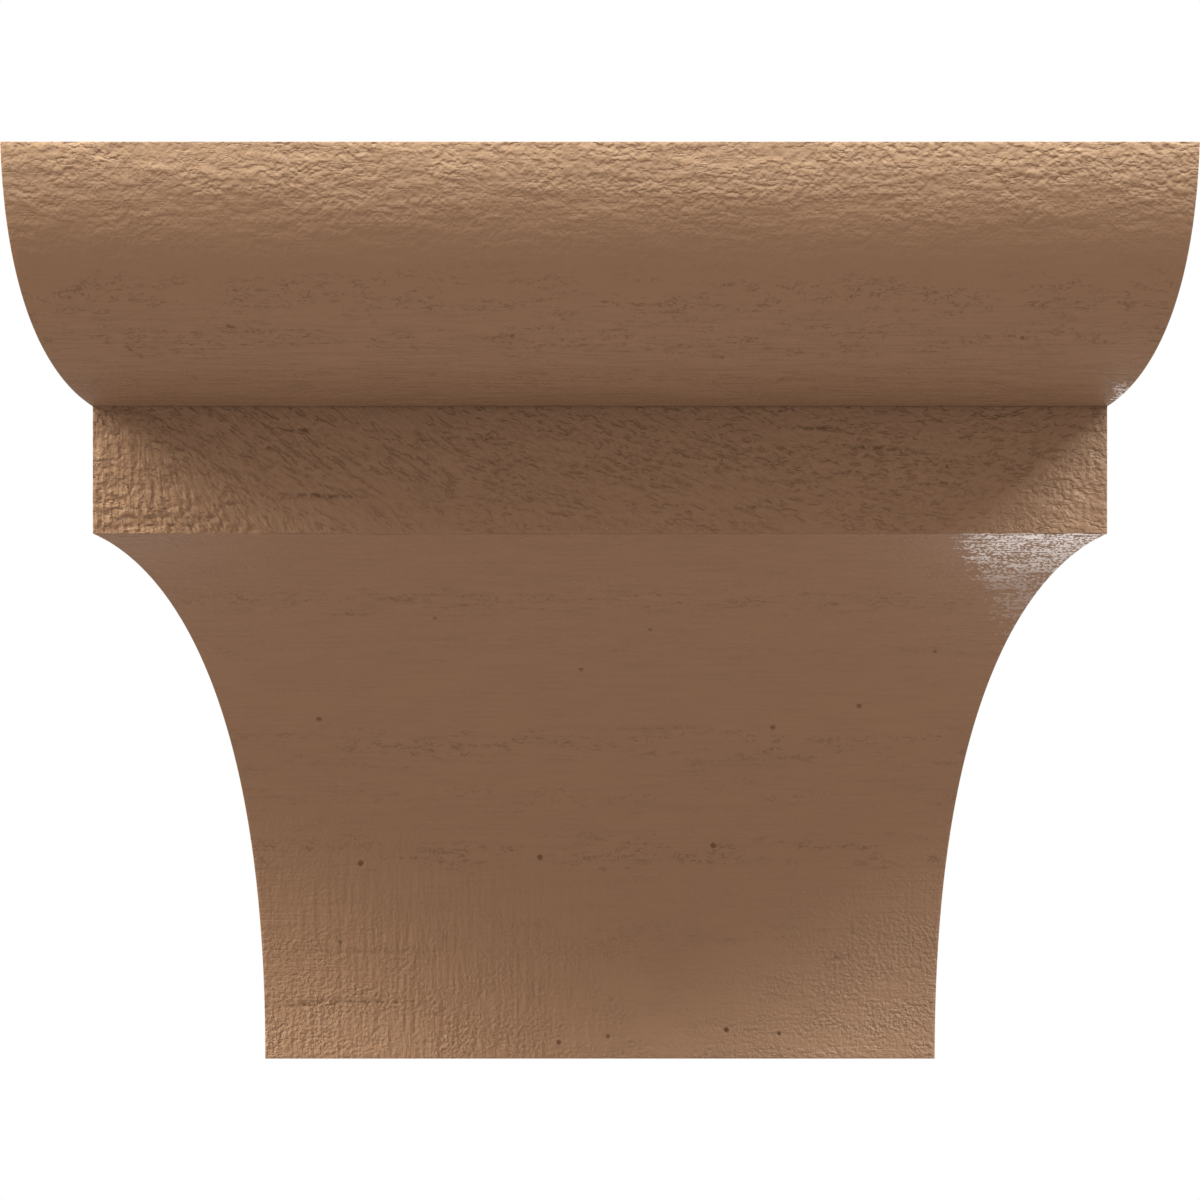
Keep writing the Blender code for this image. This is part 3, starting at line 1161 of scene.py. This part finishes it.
def mask(tree, name):
    return node(tree, "ShaderNodeAttribute", attribute_name=name).outputs["Fac"]


def with_mask(tree, place, axis, name):
    """The place, with one of its coordinates read from a mask."""
    parts = node(tree, "ShaderNodeSeparateXYZ", {"Vector": place}).outputs
    axes = {"X": parts["X"], "Y": parts["Y"], "Z": parts["Z"], axis: mask(tree, name)}
    return node(tree, "ShaderNodeCombineXYZ", axes).outputs[0]


def patchy_grain(tree, place):
    """Grain from -0.5 to 0.5, up to three times stronger in some patches than in others."""
    grain = noise_about_zero(tree, place, GRAIN_SIZE, 3.0)
    patches = ramp(tree, noise_at(tree, place, PATCH_SIZE, 1.0), *PATCH_RANGE)
    return times(tree, grain, maths(tree, "ADD", patches, CALM_PATCH))


def fine_relief_group():
    sorts = ("Bumps", "Grain", "Lines", "Saw", "Specks", "Cracks")
    inputs = [("Place", VECTOR, ORIGIN)] + [(sort, VALUE, 0.1) for sort in sorts]
    group, given, out = new_group("Fine_Relief", inputs, [("Height", VALUE), ("Recess", VALUE)])
    saw_place = with_mask(group, given["Place"], "X", "across_saw")
    place = with_mask(group, given["Place"], "Z", "across_grain")
    rough, hairlines = mask(group, "rough"), mask(group, "lines")
    bumps = use_group(group, SAWN_BUMPS, {"Place": place})
    lines = noise_at(group, place, LINE_SIZE, 1.0)
    torn = {"Place": place, "Torn": mask(group, "torn")}
    specks = use_group(group, TORN_SPECKS, torn)["Specks"]
    cracked = {"Place": place, "Torn": mask(group, "cracked"), "Size": CRACK_SIZE}
    cracks = use_group(group, TORN_SPECKS, cracked)["Specks"]

    height = times(group, times(group, bumps["Height"], rough), given["Bumps"])
    for operation, sort, value in (
        ("ADD", "Grain", times(group, patchy_grain(group, place), mask(group, "grain"))),
        ("ADD", "Lines", times(group, lines, hairlines)),
        ("ADD", "Saw", times(group, noise_at(group, saw_place, SAW_SIZE, 2.0), mask(group, "saw"))),
        ("SUBTRACT", "Specks", specks),
        ("SUBTRACT", "Cracks", cracks),
    ):
        height = maths(group, operation, height, times(group, value, given[sort]))
    group.links.new(height, out["Height"])

    # Painted shade: under the head the furrows between the bumps are painted darker still.
    shade_under_head = times(group, mask(group, "painted_shade_under_head"), CREASE_SHADE_UNDER_HEAD)
    furrow_darkening = maths(group, "ADD", shade_under_head, SHADE_AND_DIRT_BETWEEN_BUMPS)
    # How much each place is painted darker, as dirt in its recesses and as the shade in them.
    recess = maths(group, "MAXIMUM", specks, mask(group, "crease"))
    recess = maths(group, "MAXIMUM", recess, times(group, cracks, SHADE_AND_DIRT_IN_CRACKS))
    between = times(group, times(group, bumps["Crease"], rough), furrow_darkening)
    recess = maths(group, "MAXIMUM", recess, between)
    furrows = falling(group, lines, *LINE_RANGE)
    thin = times(group, times(group, furrows, hairlines), SHADE_AND_DIRT_IN_LINES)
    group.links.new(maths(group, "ADD", recess, thin), out["Recess"])
    return group


FINE_RELIEF = fine_relief_group()
print(f"node groups: {len(bpy.data.node_groups)}")

# %% [markdown]
# ## The four materials
#
# Every material reads its place in millimetres from the object's own coordinates, so the effects
# stay where they are when the camera moves. On the sides the grain runs from front to back, and a
# Mapping node turns the place a quarter turn. The height goes into one Bump node, whose Distance
# makes millimetres of it. The recesses are painted darker, as dirt and as shade, and a second mix
# paints shade in black under the head and along the crease.

# %% Colours, and amounts of relief in mm
COAT_COLOUR = (0.205, 0.108, 0.0592, 1.0)
# The colour that recesses are painted towards, for dirt and for shade.
SHADE_AND_DIRT_COLOUR = (0.080, 0.038, 0.019, 1.0)
SHADE_COLOUR = (0.0, 0.0, 0.0, 1.0)
SATIN = 0.08
GLOSS_ROUGHNESS = 0.2
GLOSS_IOR = 1.5
FRONT_MM = {"Bumps": 0.145, "Grain": 0.12, "Lines": 0.09, "Saw": 0.21, "Specks": 0.05, "Cracks": 0.10}
SIDE_MM = {"Bumps": 0.12, "Grain": 0.10, "Lines": 0.08, "Saw": 0.20, "Specks": 0.05, "Cracks": 0.06}
FLAT_MM = {"Bumps": 0.05, "Grain": 0.08, "Lines": 0.05, "Saw": 0.05, "Specks": 0.02, "Cracks": 0.02}
BACK_MM = {"Bumps": 0.03, "Grain": 0.08, "Lines": 0.03, "Saw": 0.05, "Specks": 0.02, "Cracks": 0.0}
print(f"deepest bumps: {FRONT_MM['Bumps']:.2f} mm")

# %% Make the coats
def coat_material(name, quarter_turns, shade_and_dirt, amounts):
    material = bpy.data.materials.new(name)
    material.use_nodes = True
    tree = material.node_tree
    shader = tree.nodes["Principled BSDF"]
    where = node(tree, "ShaderNodeTexCoord").outputs["Object"]
    turn = (0.0, 0.0, math.radians(90) * quarter_turns)
    inputs = {"Vector": where, "Scale": (1 / MM, 1 / MM, 1 / MM), "Rotation": turn}
    place = node(tree, "ShaderNodeMapping", inputs).outputs[0]

    relief = use_group(tree, FINE_RELIEF, {"Place": place, **amounts})
    raised = {"Strength": 1.0, "Distance": MM, "Height": relief["Height"]}
    bump = node(tree, "ShaderNodeBump", raised)
    tone = use_group(tree, COAT_TONE, {"Color": COAT_COLOUR, "Place": place})
    shaded_and_dirty = {"Color": tone["Color"], "Dark_Colour": SHADE_AND_DIRT_COLOUR, "Amount": shade_and_dirt}
    colour = use_group(tree, RECESS_SHADE_AND_DIRT, {"Recess": relief["Recess"], **shaded_and_dirty})["Color"]
    # Painted shade: the coat is mixed towards black under the head and along the crease.
    painted_shade_mix = {"Color": colour, "Recess": mask(tree, "painted_shade_under_head"), "Dark_Colour": SHADE_COLOUR, "Amount": 1.0}
    colour = use_group(tree, RECESS_SHADE_AND_DIRT, painted_shade_mix)["Color"]
    net = use_group(tree, GLOSS_NET, {"Place": place, "Pooled": mask(tree, "gloss")})["Gloss"]

    tree.links.new(colour, shader.inputs["Base Color"])
    tree.links.new(tone["Roughness"], shader.inputs["Roughness"])
    tree.links.new(net, shader.inputs["Coat Weight"])
    tree.links.new(bump.outputs[0], shader.inputs["Normal"])
    shader.inputs["Specular IOR Level"].default_value = SATIN
    shader.inputs["Coat Roughness"].default_value = GLOSS_ROUGHNESS
    shader.inputs["Coat IOR"].default_value = GLOSS_IOR
    return material


coats = [
    coat_material("sawn_front_coat", 0, 0.6, FRONT_MM),
    coat_material("sawn_side_coat", 1, 0.6, SIDE_MM),
    coat_material("flat_face_coat", 0, 0.3, FLAT_MM),
    coat_material("back_face_coat", 0, 0.3, BACK_MM),
]
for coat in coats:
    mesh.materials.append(coat)
print(f"materials: {[coat.name for coat in coats]}")

# %% [markdown]
# ## The piece
#
# The skin becomes one object. It rides on the part's only body, and replaces the plain solid.

# %% Hand the skin over
corbel = bpy.data.objects.new("sawn_corbel", mesh)
bpy.context.scene.collection.objects.link(corbel)
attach(corbel, "root")
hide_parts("corbel")
lit_by_lamps.objects.link(corbel)
print(f"pieces: {corbel.name}")
